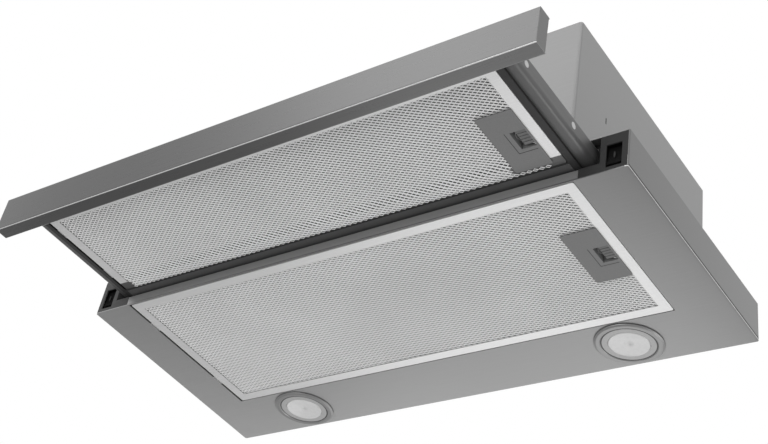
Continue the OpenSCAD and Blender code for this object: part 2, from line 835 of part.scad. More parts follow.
// Y places of the balls of a row
function ball_y(i) = cage_y0 + cage_l * (i + 0.5) / ball_n;
cage_x0 = (rail_x0 + runner_x1) / 2 - ball_d * 1.6;

module cage_right() {
    h = runner_h + race + cage_t;
    color(zinc) placed() translate([0, 0, slide_z]) difference() {
        along_y(cage_y0, cage_y0 + cage_l)
            channel(cage_x0, runner_x1 + web_gap / 2 + cage_t / 2, h, cage_t,
                    runner_r + race / 4);
        for (i = [0 : ball_n - 1], z = [-1, 1])
            translate([ball_x, ball_y(i), z * (runner_h + race) / 2])
                cylinder(h = 4 * cage_t, d = ball_d + 2 * fit, center = true);
    }
}

ball_x = cage_x0 + ball_d;

module cage_left() {
    left() cage_right();
}

module balls() {
    color(zinc) placed() for (side = [0, 1]) mirror([side, 0, 0])
        for (i = [0 : ball_n - 1], z = [-1, 1])
            translate([ball_x, ball_y(i), slide_z + z * (runner_h + race) / 2])
                sphere(d = ball_d);
}

// Runner: a round-edged channel on the visor's side, its feet against the visor
module runner_right() {
    color(zinc) placed() translate([0, 0, slide_z]) difference() {
        along_y(runner_y0, runner_y1) channel(runner_x0, runner_x1, runner_h, rail_t, runner_r);
        for (y = rivet_ys) translate([0, y, 0]) {
            pin_x(runner_x0, runner_x1 + over, rivet_shank_share * rivet_d + 2 * fit);
            pin_x(runner_x1 - rivet_head / 2, runner_x1 + over, rivet_d + 2 * fit);
        }
    }
}

module runner_left() {
    left() runner_right();
}

// Flush rivets through the runner's web and the visor's side
module runner_rivets() {
    color(alu) placed() for (side = [0, 1]) mirror([side, 0, 0])
        for (y = rivet_ys) translate([0, y, slide_z]) {
            pin_x(visor_in - rivet_head, runner_x1 - fit, rivet_shank_share * rivet_d);
            pin_x(visor_in - rivet_head, visor_in - fit, rivet_d);
            pin_x(runner_x1 - rivet_head / 2, runner_x1, rivet_d);
        }
}

// Visor: a shallow folded cover over the front filter, open to the rear above its bar
module visor() {
    z0 = visor_z0;
    z1 = visor_z1;
    color(dark) placed() difference() {
        union() {
            difference() {
                box(-visor_out, visor_out, visor_y0, visor_y1, z0, z1);
                box(-visor_in, visor_in, visor_y0 + sheet_t, visor_y1 + over, z0 + sheet_t,
                    z1 - sheet_t);
                box(-open_hw, latch_x, visor_y0 + sheet_t, visor_y1 - visor_bar_d, z0 - over,
                    z0 + sheet_t + over);
            }
            box(-visor_out + fit, visor_out - fit, visor_y1 - visor_bar_d,
                visor_y1 - visor_bar_d + sheet_t, z0, z0 + visor_lip_h);
            box(-visor_out + fit, visor_out - fit, visor_y1 - sheet_t, visor_y1, z0,
                z0 + visor_lip_h);
        }
        for (side = [-1, 1], y = rivet_ys) translate([0, y, slide_z])
            pin_x(side * visor_out - 3 * sheet_t, side * visor_out + 3 * sheet_t,
                  rivet_shank_share * rivet_d + 2 * fit);
        for (s = screw_shares) translate([s * visor_in, visor_y0 - over, slide_z])
            rotate([-90, 0, 0]) cylinder(h = sheet_t + 2 * over, d = screw_d + 2 * fit);
    }
}

screw_d = 4;
screw_shares = [-0.9, -0.45, 0, 0.45, 0.9];

// Front panel: a channel of brushed steel, open to the rear and at its ends
module front_panel() {
    h = panel_h;
    color(steel) placed() translate([0, 0, panel_z0]) difference() {
        along_x(-hood_w / 2, hood_w / 2) translate([(panel_y0 + panel_y1) / 2, h / 2])
            round_rect(panel_t, h, panel_r);
        along_x(-hood_w / 2 - over, hood_w / 2 + over)
            translate([(panel_y0 + panel_y1) / 2, h / 2])
                round_rect(panel_t - 2 * sheet_t, h - 2 * sheet_t, panel_r - sheet_t / 2);
        box(-hood_w / 2 - over, hood_w / 2 + over, panel_y1 - sheet_t - panel_r,
            panel_y1 + over, sheet_t, h - sheet_t);
    }
}

module panel_back() {
    color(zinc) placed() difference() {
        box(-hood_w / 2 + cap_plug, hood_w / 2 - cap_plug, panel_y1 - sheet_t, panel_y1,
            panel_z0 + sheet_t + fit, panel_z0 + panel_h - sheet_t - fit);
        for (s = screw_shares) translate([s * visor_in, panel_y1 - sheet_t - over, slide_z])
            rotate([-90, 0, 0]) cylinder(h = sheet_t + 2 * over, d = screw_d + 2 * fit);
    }
}

cap_plug = 12;

// End cap: a plug inside the front panel's end, flush with it
module panel_cap_right() {
    x1 = hood_w / 2;
    cy = (panel_y0 + panel_y1) / 2;
    color(grey) placed() translate([0, cy, panel_z0 + panel_h / 2]) difference() {
        along_x(x1 - cap_plug + fit, x1)
            round_rect(panel_t - 2 * sheet_t - 2 * fit, panel_h - 2 * sheet_t - 2 * fit,
                       panel_r - sheet_t / 2);
        box(x1 - cap_plug - over, x1 - 2 * sheet_t, -panel_t / 2 + 3 * sheet_t,
            panel_t / 2 - 3 * sheet_t, -panel_h / 2 + 3 * sheet_t, panel_h / 2 - 3 * sheet_t);
    }
}

module panel_cap_left() {
    left() panel_cap_right();
}

// Screws from inside the visor into the front panel's back plate
module panel_screws() {
    color(zinc) placed() for (s = screw_shares)
        translate([s * visor_in, panel_y1 - 2 * sheet_t, slide_z]) rotate([-90, 0, 0]) {
            cylinder(h = 3 * sheet_t + 2 * fit, d = screw_d);
            translate([0, 0, 3 * sheet_t + 2 * fit]) difference() {
                cylinder(h = sheet_t, d = 2 * screw_d);
                translate([0, 0, sheet_t]) cube([screw_d, screw_d / 4, sheet_t], center = true);
                translate([0, 0, sheet_t]) cube([screw_d / 4, screw_d, sheet_t], center = true);
            }
        }
}

// Filter frame: a channel bent round the mesh, with hinge tabs at its left end
module filter_frame(y0, y1, hy) {
    difference() {
        union() {
            round_block(filter_hw, y0, y1, 0, filter_t, 2 * frame_t);
            for (s = tab_shares) translate([0, y0 + (y1 - y0) * s, 0])
                box(-filter_hw - tab_l, -filter_hw + frame_t, -tab_w / 2, tab_w / 2, tab_z0,
                    tab_z0 + tab_t);
        }
        box(-filter_hw + frame_w, filter_hw - frame_w, y0 + frame_w, y1 - frame_w, -over,
            filter_t + over);
        box(-filter_hw + frame_t, filter_hw - frame_t, y0 + frame_t, y1 - frame_t, frame_t,
            filter_t - frame_t);
        box(filter_hw - frame_w - over, filter_hw + over, hy - bolt_w / 2 - run,
            hy + bolt_w / 2 + run, bolt_z0 - run, bolt_z0 + bolt_t + run);
    }
}

// The hole in the mesh and core that the finger pocket takes
module pocket_hole(hy) {
    box(hole_x0, filter_hw, hy - hole_l / 2, hy + hole_l / 2, -over, filter_t + over);
}

// Expanded mesh: rows of diamond openings, every other row shifted by half
module mesh_sheet(y0, y1, z0, pitch, hy) {
    x1 = filter_hw - frame_t - fit;
    field_x = filter_hw - frame_w;
    n = round(2 * field_x / pitch);
    px = 2 * field_x / n;
    rows = round((y1 - y0 - 2 * frame_w) / (px * 0.85));
    py = (y1 - y0 - 2 * frame_w) / rows;
    a = px / 2 - strand_w / 2;
    b = min(py * 0.92, py - strand_w / 3) - strand_w / 2;
    difference() {
        box(-x1, x1, y0 + frame_t + fit, y1 - frame_t - fit, z0, z0 + mesh_t);
        for (j = [0 : rows - 1], i = [0 : n - 1 - j % 2]) {
            x = -field_x + (i + 0.5 + (j % 2) / 2) * px;
            y = y0 + frame_w + (j + 0.5) * py;
            at_pocket = x + a > hole_x0 - strand_w && abs(y - hy) < hole_l / 2 + b + strand_w;
            if (!at_pocket) translate([x, y, z0 - over])
                linear_extrude(mesh_t + 2 * over) polygon([[-a, 0], [0, -b], [a, 0], [0, b]]);
        }
        pocket_hole(hy);
    }
}

// Filter core: one corrugated foil between the two meshes
module folded_core(y0, y1, hy) {
    z0 = frame_t + mesh_t + 3 * fit;
    z1 = filter_t - frame_t - mesh_t - 3 * fit;
    x1 = filter_hw - frame_t - 2 * fit;
    pitch = 2 * x1 / fold_n;
    t = frame_t / 2;
    low = [for (i = [0 : 2 * fold_n]) [-x1 + i * pitch / 2, i % 2 == 0 ? z0 : z1 - t]];
    high = [for (i = [2 * fold_n : -1 : 0]) [-x1 + i * pitch / 2, i % 2 == 0 ? z0 + t : z1]];
    difference() {
        along_y(y0 + frame_t + 2 * fit, y1 - frame_t - 2 * fit) polygon(concat(low, high));
        pocket_hole(hy);
    }
}

// Handle plate with its finger pocket, open below
module filter_handle(hy) {
    difference() {
        union() {
            translate([(handle_x0 + plate_x1) / 2, hy, -handle_t - fit])
                linear_extrude(handle_t) round_rect(handle_w, handle_l, 2 * handle_t);
            box(pocket_x0 - pocket_wall, pocket_x1 + pocket_wall, hy - pocket_l / 2 - pocket_wall,
                hy + pocket_l / 2 + pocket_wall, -handle_t - fit, pocket_z1);
        }
        box(pocket_x0, pocket_x1, hy - pocket_l / 2, hy + pocket_l / 2, -handle_t - fit - over,
            pocket_z1 - pocket_wall);
        box(pocket_x1 - over, filter_hw, hy - bolt_w / 2 - run, hy + bolt_w / 2 + run,
            bolt_z0 - run, bolt_z0 + bolt_t + run);
    }
}

// Latch: a sliding bolt with a ribbed thumb block that fills the right of the pocket
module filter_latch(hy) {
    difference() {
        union() {
            box(thumb_x0, bolt_tip, hy - bolt_w / 2, hy + bolt_w / 2, bolt_z0, bolt_z0 + bolt_t);
            box(thumb_x0, pocket_x1 - run, hy - pocket_l / 2 + run, hy + pocket_l / 2 - thumb_gap,
                -handle_t / 2, bolt_z0 + bolt_t);
        }
        for (y = [1 : thumb_ribs]) translate([0, hy - pocket_l / 2 + y * thumb_gap, 0])
            box(thumb_x0 - over, pocket_x1, -slot_w / 2, slot_w / 2, -handle_t, 0);
        translate([bolt_tip, hy - bolt_w, bolt_z0]) rotate([0, 35, 0])
            translate([0, 0, -4 * bolt_t]) cube([4 * bolt_t, 2 * bolt_w, 4 * bolt_t]);
    }
}

// Bowed leaf spring between the pocket's wall and the latch
module latch_spring(hy) {
    gap = thumb_x0 - pocket_x0 - 2 * fit;
    half = pocket_l / 2 - thumb_gap;
    r = (half * half + gap * gap) / (2 * gap);
    z0 = bolt_z0 + bolt_t - spring_w / 2;
    intersection() {
        translate([pocket_x0 + fit + r, hy, 0]) difference() {
            translate([0, 0, z0]) cylinder(h = spring_w / 2, r = r, $fn = 128);
            translate([0, 0, z0 - over]) cylinder(h = spring_w, r = r - spring_t, $fn = 128);
        }
        box(pocket_x0, thumb_x0 - fit, hy - half, hy + half, -over, filter_t);
    }
}

// The rear filter hangs in the tray, the front filter in the visor
module at_front() {
    translate([0, 0, visor_z0]) children();
}

front_handle_y = front_y0 + (front_y1 - front_y0) * front_handle_share;
front_low_z = frame_t + fit;
top_mesh_z = filter_t - frame_t - mesh_t - fit;
top_mesh_pitch = mesh_pitch * 1.6;

module rear_frame() {
    color(alu) placed() filter_frame(rear_y0, rear_y1, rear_handle_y);
}

module rear_mesh() {
    color(alu) placed() mesh_sheet(rear_y0, rear_y1, front_low_z, mesh_pitch, rear_handle_y);
}

module rear_core() {
    color(zinc) placed() folded_core(rear_y0, rear_y1, rear_handle_y);
}

module rear_top_mesh() {
    color(alu) placed()
        mesh_sheet(rear_y0, rear_y1, top_mesh_z, top_mesh_pitch, rear_handle_y);
}

module rear_handle() {
    color(grey) placed() filter_handle(rear_handle_y);
}

module rear_latch() {
    color(dark) placed() filter_latch(rear_handle_y);
}

module rear_spring() {
    color(zinc) placed() latch_spring(rear_handle_y);
}

module front_frame() {
    color(alu) placed() at_front() filter_frame(front_y0, front_y1, front_handle_y);
}

module front_mesh() {
    color(alu) placed() at_front()
        mesh_sheet(front_y0, front_y1, front_low_z, mesh_pitch, front_handle_y);
}

module front_core() {
    color(zinc) placed() at_front() folded_core(front_y0, front_y1, front_handle_y);
}

module front_top_mesh() {
    color(alu) placed() at_front()
        mesh_sheet(front_y0, front_y1, top_mesh_z, top_mesh_pitch, front_handle_y);
}

module front_handle() {
    color(grey) placed() at_front() filter_handle(front_handle_y);
}

module front_latch() {
    color(dark) placed() at_front() filter_latch(front_handle_y);
}

module front_spring() {
    color(zinc) placed() at_front() latch_spring(front_handle_y);
}

tray();
housing();
housing_rivets();
outlet_collar();
flap_pin();
flap_front();
flap_rear();
scroll_left();
scroll_right();
impeller();
motor_shaft();
motor();
motor_bracket();
capacitor();
led_driver();
terminal_box();
cable_gland();
switch_housing_left();
switch_housing_right();
switch_body_left();
switch_body_right();
rocker_fan();
rocker_light();
lamp_ring_left();
lamp_ring_right();
lamp_glass_left();
lamp_glass_right();
lamp_module_left();
lamp_module_right();
lamp_clips();
rail_left();
rail_right();
rail_brackets();
rail_stops();
cage_left();
cage_right();
balls();
runner_left();
runner_right();
runner_rivets();
visor();
front_panel();
panel_back();
panel_cap_left();
panel_cap_right();
panel_screws();
rear_frame();
rear_mesh();
rear_core();
rear_top_mesh();
rear_handle();
rear_latch();
rear_spring();
front_frame();
front_mesh();
front_core();
front_top_mesh();
front_handle();
front_latch();
front_spring();
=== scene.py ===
"""Looks for the pull out range hood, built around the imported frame. Lengths are in metres."""

import json
import math

import bmesh
import bpy
from mathutils import Matrix, Vector


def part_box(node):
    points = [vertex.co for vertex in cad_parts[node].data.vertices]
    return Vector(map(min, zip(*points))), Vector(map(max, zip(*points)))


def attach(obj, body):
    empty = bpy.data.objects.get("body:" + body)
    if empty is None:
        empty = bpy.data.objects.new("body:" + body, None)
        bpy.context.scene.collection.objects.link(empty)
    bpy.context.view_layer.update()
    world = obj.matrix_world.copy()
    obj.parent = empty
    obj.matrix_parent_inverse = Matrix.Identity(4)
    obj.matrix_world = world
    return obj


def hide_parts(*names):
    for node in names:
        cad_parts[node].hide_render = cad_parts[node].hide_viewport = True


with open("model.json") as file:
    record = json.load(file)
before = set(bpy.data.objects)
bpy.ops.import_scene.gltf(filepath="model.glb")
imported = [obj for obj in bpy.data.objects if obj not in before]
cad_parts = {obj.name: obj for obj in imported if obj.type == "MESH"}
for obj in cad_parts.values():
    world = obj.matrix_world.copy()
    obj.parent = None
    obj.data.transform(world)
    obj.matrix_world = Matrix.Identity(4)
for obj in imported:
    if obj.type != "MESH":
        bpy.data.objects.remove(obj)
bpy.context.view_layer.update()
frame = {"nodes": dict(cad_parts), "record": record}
NODES = frame["nodes"]
SLOT_OF = {part["node"]: part["material_slot"] for part in frame["record"]["subparts"]}
MM = 0.001

# ---------------------------------------------------------------- materials

# How a grain is stretched: into lines along X, into lines along Y, or not at all
ALONG_X = (3.0, 160.0, 160.0)
ALONG_Y = (160.0, 3.0, 160.0)
EVEN = (1.0, 1.0, 1.0)
# Fineness of the grains, their detail, and the part of their range that is used
BRUSH_GRAIN, PLASTIC_GRAIN, GLASS_GRAIN = 9.0, 900.0, 300.0
GRAIN_DETAIL, GRAIN_LOW, GRAIN_HIGH = 4.0, 0.3, 0.7
# How far a grain moves the colour and the roughness, and how deep it looks
BRUSH_TINT, BRUSH_SWING, BRUSH_RELIEF = 0.04, 0.12, 0.12
PLASTIC_TINT, PLASTIC_SWING, PLASTIC_RELIEF = 0.06, 0.1, 0.25
RELIEF_DEPTH = 0.03 * MM
# Frosted glass: its greys, its roughness and its clear coat
GLASS_GREYS, GLASS_ROUGH, GLASS_COAT = (0.72, 0.78), (0.4, 0.5), 0.3


def shader(name):
    """A new node material: the material, its nodes, its links and its Principled shader."""
    material = bpy.data.materials.new(name)
    material.use_nodes = True
    tree = material.node_tree
    return material, tree.nodes, tree.links, tree.nodes["Principled BSDF"]


def grain(nodes, links, scale, stretch):
    """Noise in the object's own space, stretched to give a grain along one axis."""
    coords = nodes.new("ShaderNodeTexCoord")
    mapping = nodes.new("ShaderNodeMapping")
    mapping.inputs["Scale"].default_value = stretch
    noise = nodes.new("ShaderNodeTexNoise")
    noise.inputs["Scale"].default_value = scale
    noise.inputs["Detail"].default_value = GRAIN_DETAIL
    links.new(coords.outputs["Object"], mapping.inputs["Vector"])
    links.new(mapping.outputs["Vector"], noise.inputs["Vector"])
    return noise.outputs["Fac"]


def spread(nodes, links, factor, low, high):
    """Maps the used part of a grain onto low to high."""
    span = nodes.new("ShaderNodeMapRange")
    span.inputs["From Min"].default_value = GRAIN_LOW
    span.inputs["From Max"].default_value = GRAIN_HIGH
    span.inputs["To Min"].default_value = low
    span.inputs["To Max"].default_value = high
    links.new(factor, span.inputs["Value"])
    return span.outputs["Result"]


def tint(nodes, links, factor, dark, light):
    """A grey that runs from dark to light over the used part of a grain."""
    ramp = nodes.new("ShaderNodeValToRGB")
    stops = ramp.color_ramp.elements
    stops[0].position, stops[1].position = GRAIN_LOW, GRAIN_HIGH
    stops[0].color = (dark, dark, dark, 1)
    stops[1].color = (light, light, light, 1)
    links.new(factor, ramp.inputs["Fac"])
    return ramp.outputs["Color"]


def relief(nodes, links, factor, strength):
    """A shallow bump from a grain."""
    bump = nodes.new("ShaderNodeBump")
    bump.inputs["Strength"].default_value = strength
    bump.inputs["Distance"].default_value = RELIEF_DEPTH
    links.new(factor, bump.inputs["Height"])
    return bump.outputs["Normal"]


def around(value, swing):
    """The lowest and the highest of a value that swings by a share of itself."""
    return value * (1 - swing), value * (1 + swing)


def brushed(name, level, rough, metal=0.6, along=ALONG_X):
    """Brushed sheet: fine lines along one axis in its colour, its gloss and its relief."""
    material, nodes, links, surface = shader(name)
    lines = grain(nodes, links, BRUSH_GRAIN, along)
    links.new(tint(nodes, links, lines, *around(level, BRUSH_TINT)),
              surface.inputs["Base Color"])
    links.new(spread(nodes, links, lines, *around(rough, BRUSH_SWING)),
              surface.inputs["Roughness"])
    links.new(relief(nodes, links, lines, BRUSH_RELIEF), surface.inputs["Normal"])
    surface.inputs["Metallic"].default_value = metal
    return material


def moulded(name, level, rough, strength=PLASTIC_RELIEF, gloss=0.5):
    """Moulded plastic with a fine even texture."""
    material, nodes, links, surface = shader(name)
    speck = grain(nodes, links, PLASTIC_GRAIN, EVEN)
    links.new(tint(nodes, links, speck, *around(level, PLASTIC_TINT)),
              surface.inputs["Base Color"])
    links.new(spread(nodes, links, speck, *around(rough, PLASTIC_SWING)),
              surface.inputs["Roughness"])
    links.new(relief(nodes, links, speck, strength), surface.inputs["Normal"])
    surface.inputs["Specular IOR Level"].default_value = gloss
    return material


def frosted(name):
    """Frosted lamp glass: nearly white and soft, under a clear coat."""
    material, nodes, links, surface = shader(name)
    cloud = grain(nodes, links, GLASS_GRAIN, EVEN)
    links.new(tint(nodes, links, cloud, *GLASS_GREYS), surface.inputs["Base Color"])
    links.new(spread(nodes, links, cloud, *GLASS_ROUGH), surface.inputs["Roughness"])
    surface.inputs["Coat Weight"].default_value = GLASS_COAT
    return material


def combine(nodes, links, operation, first, second):
    """A math node on one socket and on a second socket or number."""
    node = nodes.new("ShaderNodeMath")
    node.operation = operation
    links.new(first, node.inputs[0])
    if isinstance(second, (int, float)):
        node.inputs[1].default_value = second
    else:
        links.new(second, node.inputs[1])
    return node.outputs["Value"]


def place_in_object(nodes, links, axis):
    """The place along one axis of the object's own space."""
    coords = nodes.new("ShaderNodeTexCoord")
    parts = nodes.new("ShaderNodeSeparateXYZ")
    links.new(coords.outputs["Object"], parts.inputs["Vector"])
    return parts.outputs[axis]


def within(nodes, links, axis, start, end):
    """A factor that is 1 between start and end along one axis, and 0 elsewhere."""
    inside = nodes.new("ShaderNodeMath")
    inside.operation = "COMPARE"
    inside.inputs[1].default_value = (start + end) / 2
    inside.inputs[2].default_value = (end - start) / 2
    links.new(place_in_object(nodes, links, axis), inside.inputs[0])
    return inside.outputs["Value"]


def banded(material, bands):
    """Paints grey bands on a material, for painted highlights, painted light and painted shade,
    and the hem's dark seam: each is ({axis: (start, end)}, level) in object space.
    """
    nodes, links = material.node_tree.nodes, material.node_tree.links
    surface = nodes["Principled BSDF"]
    colour = surface.inputs["Base Color"].links[0].from_socket
    for ranges, level in bands:
        factor = None
        for axis, (start, end) in ranges.items():
            inside = within(nodes, links, axis, start, end)
            if factor is None:
                factor = inside
            else:
                factor = combine(nodes, links, "MULTIPLY", factor, inside)
        mix = nodes.new("ShaderNodeMix")
        mix.data_type = "RGBA"
        links.new(factor, mix.inputs["Factor"])
        links.new(colour, mix.inputs["A"])
        mix.inputs["B"].default_value = (level, level, level, 1)
        colour = mix.outputs["Result"]
    links.new(colour, surface.inputs["Base Color"])


def painted_light_ramp(material, axis, start, end, stops):
    """Scales a material's colour along one axis, to paint light and shade across it: stops are
    (share of the way, factor) pairs.

    The curve holds half of each factor, because it ends at 1."""
    nodes, links = material.node_tree.nodes, material.node_tree.links
    surface = nodes["Principled BSDF"]
    share = nodes.new("ShaderNodeMapRange")
    share.inputs["From Min"].default_value = start
    share.inputs["From Max"].default_value = end
    links.new(place_in_object(nodes, links, axis), share.inputs["Value"])
    curve = nodes.new("ShaderNodeFloatCurve")
    points = curve.mapping.curves[0].points
    for place, factor in stops[1:-1]:
        points.new(place, factor / 2)
    points[0].location = (0, stops[0][1] / 2)
    points[len(points) - 1].location = (1, stops[-1][1] / 2)
    curve.mapping.update()
    links.new(share.outputs["Result"], curve.inputs["Value"])
    scale = nodes.new("ShaderNodeVectorMath")
    scale.operation = "SCALE"
    links.new(surface.inputs["Base Color"].links[0].from_socket, scale.inputs["Vector"])
    links.new(combine(nodes, links, "MULTIPLY", curve.outputs["Value"], 2),
              scale.inputs["Scale"])
    links.new(scale.outputs["Vector"], surface.inputs["Base Color"])


# The finish of each slot in the record: its grey, its roughness and what sets it apart
MATERIALS = {
    "brushed_steel": brushed("brushed_steel", 0.265, 0.38),
    "dark_plastic": moulded("dark_plastic", 0.06, 0.5),
    "switch_plastic": moulded("switch_plastic", 0.05, 0.75, gloss=0.08),
    "black_plastic": moulded("black_plastic", 0.004, 0.7, gloss=0.04),
    "grey_plastic": moulded("grey_plastic", 0.20, 0.5),
    "steel_cap": brushed("steel_cap", 0.175, 0.45, metal=0.3, along=EVEN),
    "white_plastic": moulded("white_plastic", 0.7, 0.45),
    "frosted_glass": frosted("frosted_glass"),
    "satin_ring": brushed("satin_ring", 0.28, 0.34, along=EVEN),
    "handle_plastic": moulded("handle_plastic", 0.22, 0.55, gloss=0.25),
    "latch_plastic": moulded("latch_plastic", 0.16, 0.5, gloss=0.25),
    # Partly the visor's own dark grey paint and partly painted shade, for the shade along the
    # visor's side
    "visor_sheet": brushed("visor_sheet", 0.03, 0.55, metal=0.2),
    "slide_steel": brushed("slide_steel", 0.14, 0.5, along=ALONG_Y),
    "rubber": moulded("rubber", 0.02, 0.7),
    "filter_aluminium": brushed("filter_aluminium", 0.76, 0.40),
    "mesh_aluminium": brushed("mesh_aluminium", 0.98, 0.4, metal=0.3, along=EVEN),
    # Painted shade: the foil core is kept dark, for the shade behind the mesh's gaps
    "foil_aluminium": brushed("foil_aluminium", 0.05, 0.5, along=ALONG_Y),
    "zinc_steel": brushed("zinc_steel", 0.5, 0.3, along=EVEN),
}
# Finishes of their own, for pieces or for details of pieces; most of them carry painted light or
# painted shade
INK = moulded("mark_ink", 0.05, 0.8, gloss=0.05)
# Painted shadow: a near black for the lines of shade at the finger pockets' steps and for the
# housing's slits
SHADOW_LINE = moulded("shadow_line", 0.02, 0.6)
GLASS_RIM = moulded("glass_rim", 0.46, 0.4)
# Painted shade: a dark grey ring that fills the groove between a lamp's turned ring and its
# glass
GROOVE_SHADE = moulded("groove_shade", 0.07, 0.5)
# Painted light: a lighter copy of the switch plastic, for the lit face of the left switch
# housing
LIT_PLASTIC = moulded("lit_plastic", 0.11, 0.7, gloss=0.1)
# Painted light: a copy of the brushed steel for the tray, with painted light and shade across
# it, painted highlights on its edges and the dark seam of its hem
HEM = brushed("tray_steel_painted_light", 0.265, 0.38)
# Painted light: darker steel for the panel, with painted light across it and a painted highlight
# along its lower front edge
FASCIA = brushed("fascia_steel_painted_light", 0.155, 0.30, metal=0.75)
# Painted shade: aluminium for the front frame, with painted shade on its rear rail
FLANGE = brushed("frame_aluminium_painted_shade", 0.80, 0.40)
# Painted shade: slide steel for the rails, with painted shade on their front ends
RAIL = brushed("rail_steel_painted_shade", 0.14, 0.5, along=ALONG_Y)

# Edges that the painted highlights and shade, the hem's seam and the painted light across the
# steel are measured from
TRAY_LOW, TRAY_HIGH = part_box("tray")
PANEL_LOW, PANEL_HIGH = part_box("front_panel")
RAIL_FRONT_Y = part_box("rail_right")[0].y
SILL_GAP = 2 * MM
SILL_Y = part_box("rear_frame")[0].y - SILL_GAP
FLANGE_REAR_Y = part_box("front_frame")[1].y

# Painted highlights, painted light and painted shade, and the hem's dark seam: where each starts
# and ends from its edge, and its grey
# A painted highlight along the tray's lower right edge, then the dark seam of the tray's hem
HEM_GLINT_X, HEM_GLINT_Z, HEM_GLINT = (-3 * MM, 1 * MM), (0.08 * MM, 0.9 * MM), 0.75
HEM_SEAM_X, HEM_SEAM_Z, HEM_SEAM = (-0.1 * MM, 1 * MM), (0.9 * MM, 3.0 * MM), 0.005
# Painted light on the front face of the tray's crossbar, which lies in the visor's shade
SILL_GLINT_Y, SILL_GLINT_Z, SILL_GLINT = (-0.4 * MM, 0.4 * MM), (1.7 * MM, 12 * MM), 0.42
# A painted highlight along the panel's lower front edge
PANEL_GLINT_Y, PANEL_GLINT_Z, PANEL_GLINT = (-0.1 * MM, 1.2 * MM), (0.05 * MM, 0.6 * MM), 0.9
# Painted shade on the front frame's rear rail
FLANGE_SHADE_Y, FLANGE_SHADE = (-9.9 * MM, 1 * MM), 0.13
# Painted shade on the rails' front ends
RAIL_SHADE_Y, RAIL_SHADE = (-1 * MM, 0.4 * MM), 0.015

# Painted light and shade across the tray's and the panel's steel, lighter and darker where the
# light falls: share of the way and factor
TRAY_PAINTED_LIGHT_X = [(0, 1.62), (0.5, 1.1), (0.992, 0.92), (1, 0.72)]
TRAY_PAINTED_LIGHT_Y = [(0, 0.84), (0.5, 0.98), (1, 1.16)]
PANEL_PAINTED_LIGHT_X = [(0, 0.92), (0.2, 0.74), (0.5, 0.84), (0.8, 1.12), (1, 1.16)]


def near(edge, span):
    """The start and the end of a span that is measured from an edge."""
    return edge + span[0], edge + span[1]


# Painted light and shade across the tray and the panel, then painted highlights, painted light,
# painted shade and the hem's seam in bands
painted_light_ramp(HEM, "X", TRAY_LOW.x, TRAY_HIGH.x, TRAY_PAINTED_LIGHT_X)
painted_light_ramp(HEM, "Y", SILL_Y, TRAY_HIGH.y, TRAY_PAINTED_LIGHT_Y)
banded(HEM, [
    ({"X": near(TRAY_HIGH.x, HEM_GLINT_X), "Z": near(TRAY_LOW.z, HEM_GLINT_Z)}, HEM_GLINT),
    ({"X": near(TRAY_HIGH.x, HEM_SEAM_X), "Z": near(TRAY_LOW.z, HEM_SEAM_Z)}, HEM_SEAM),
    ({"Y": near(SILL_Y, SILL_GLINT_Y), "Z": near(TRAY_LOW.z, SILL_GLINT_Z)}, SILL_GLINT)])
painted_light_ramp(FASCIA, "X", PANEL_LOW.x, PANEL_HIGH.x, PANEL_PAINTED_LIGHT_X)
banded(FASCIA, [({"Z": near(PANEL_LOW.z, PANEL_GLINT_Z),
                  "Y": near(PANEL_LOW.y, PANEL_GLINT_Y)}, PANEL_GLINT)])
banded(FLANGE, [({"Y": near(FLANGE_REAR_Y, FLANGE_SHADE_Y)}, FLANGE_SHADE)])
banded(RAIL, [({"Y": near(RAIL_FRONT_Y, RAIL_SHADE_Y)}, RAIL_SHADE)])

# Nodes that don't wear their slot's finish, but a copy that carries painted light or painted
# shade
OWN = {"front_panel": FASCIA, "tray": HEM, "front_frame": FLANGE, "rail_right": RAIL,
       "rail_left": RAIL, "switch_housing_left": LIT_PLASTIC}

# Rounding of the edges that show, its facets, and the sharpest angle in degrees that stays
EDGE_WIDTH = {"tray": 0.5 * MM, "housing": 0.5 * MM, "front_panel": 0.6 * MM,
              "panel_cap_left": 0.6 * MM, "panel_cap_right": 0.6 * MM,
              "rear_frame": 0.25 * MM, "front_frame": 0.25 * MM, "rear_handle": 0.25 * MM,
              "front_handle": 0.25 * MM, "visor": 0.3 * MM}
EDGE_SEGMENTS, EDGE_ANGLE = 2, 35


def dress(obj, material):
    """Gives every face of obj this one material."""
    obj.data.materials.clear()
    obj.data.materials.append(material)


def round_edges(obj, width):
    """Rounds the sharp edges and keeps the flats flat."""
    bevel = obj.modifiers.new("edges", "BEVEL")
    bevel.width = width
    bevel.segments = EDGE_SEGMENTS
    bevel.limit_method = "ANGLE"
    bevel.angle_limit = math.radians(EDGE_ANGLE)
    bevel.harden_normals = False


for node_name, node in NODES.items():
    dress(node, OWN.get(node_name, MATERIALS[SLOT_OF[node_name]]))
    if node_name in EDGE_WIDTH:
        round_edges(node, EDGE_WIDTH[node_name])

# ---------------------------------------------------------------- pieces


def add_piece(name, bm, material, body):
    """A new piece of the object from a bmesh: it rides on a body and takes a record slot."""
    mesh = bpy.data.meshes.new(name)
    bm.to_mesh(mesh)
    bm.free()
    obj = bpy.data.objects.new(name, mesh)
    bpy.context.scene.collection.objects.link(obj)
    dress(obj, material)
    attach(obj, body)
    return obj


def block(bm, low, high):
    """Adds a box from its lowest to its highest corner."""
    made = bmesh.ops.create_cube(bm, size=1)["verts"]
    bmesh.ops.scale(bm, verts=made, vec=Vector(high) - Vector(low))
    bmesh.ops.translate(bm, verts=made, vec=(Vector(high) + Vector(low)) / 2)


# Expanded mesh: its cell, the strands' shares of a cell, their lean and the sheet
CELL_X, CELL_Y = 5.9 * MM, 3.95 * MM
WIDE_SHARE, NARROW_SHARE = 0.18, 0.11
LEAN, SHEET = 0.32 * MM, 0.25 * MM
# Its hem: where it steps down before the flange's rear edge, how far, over how many half
# rows, and the width of the frame's side flanges, which it leaves free
STEP_IN, STEP_DROP, STEP_ROWS, SIDE_FLANGE = 10.6 * MM, 1.9 * MM, 4, 10 * MM
# Corners that agree to the micrometre are one point
CORNER_KEY = 1e6


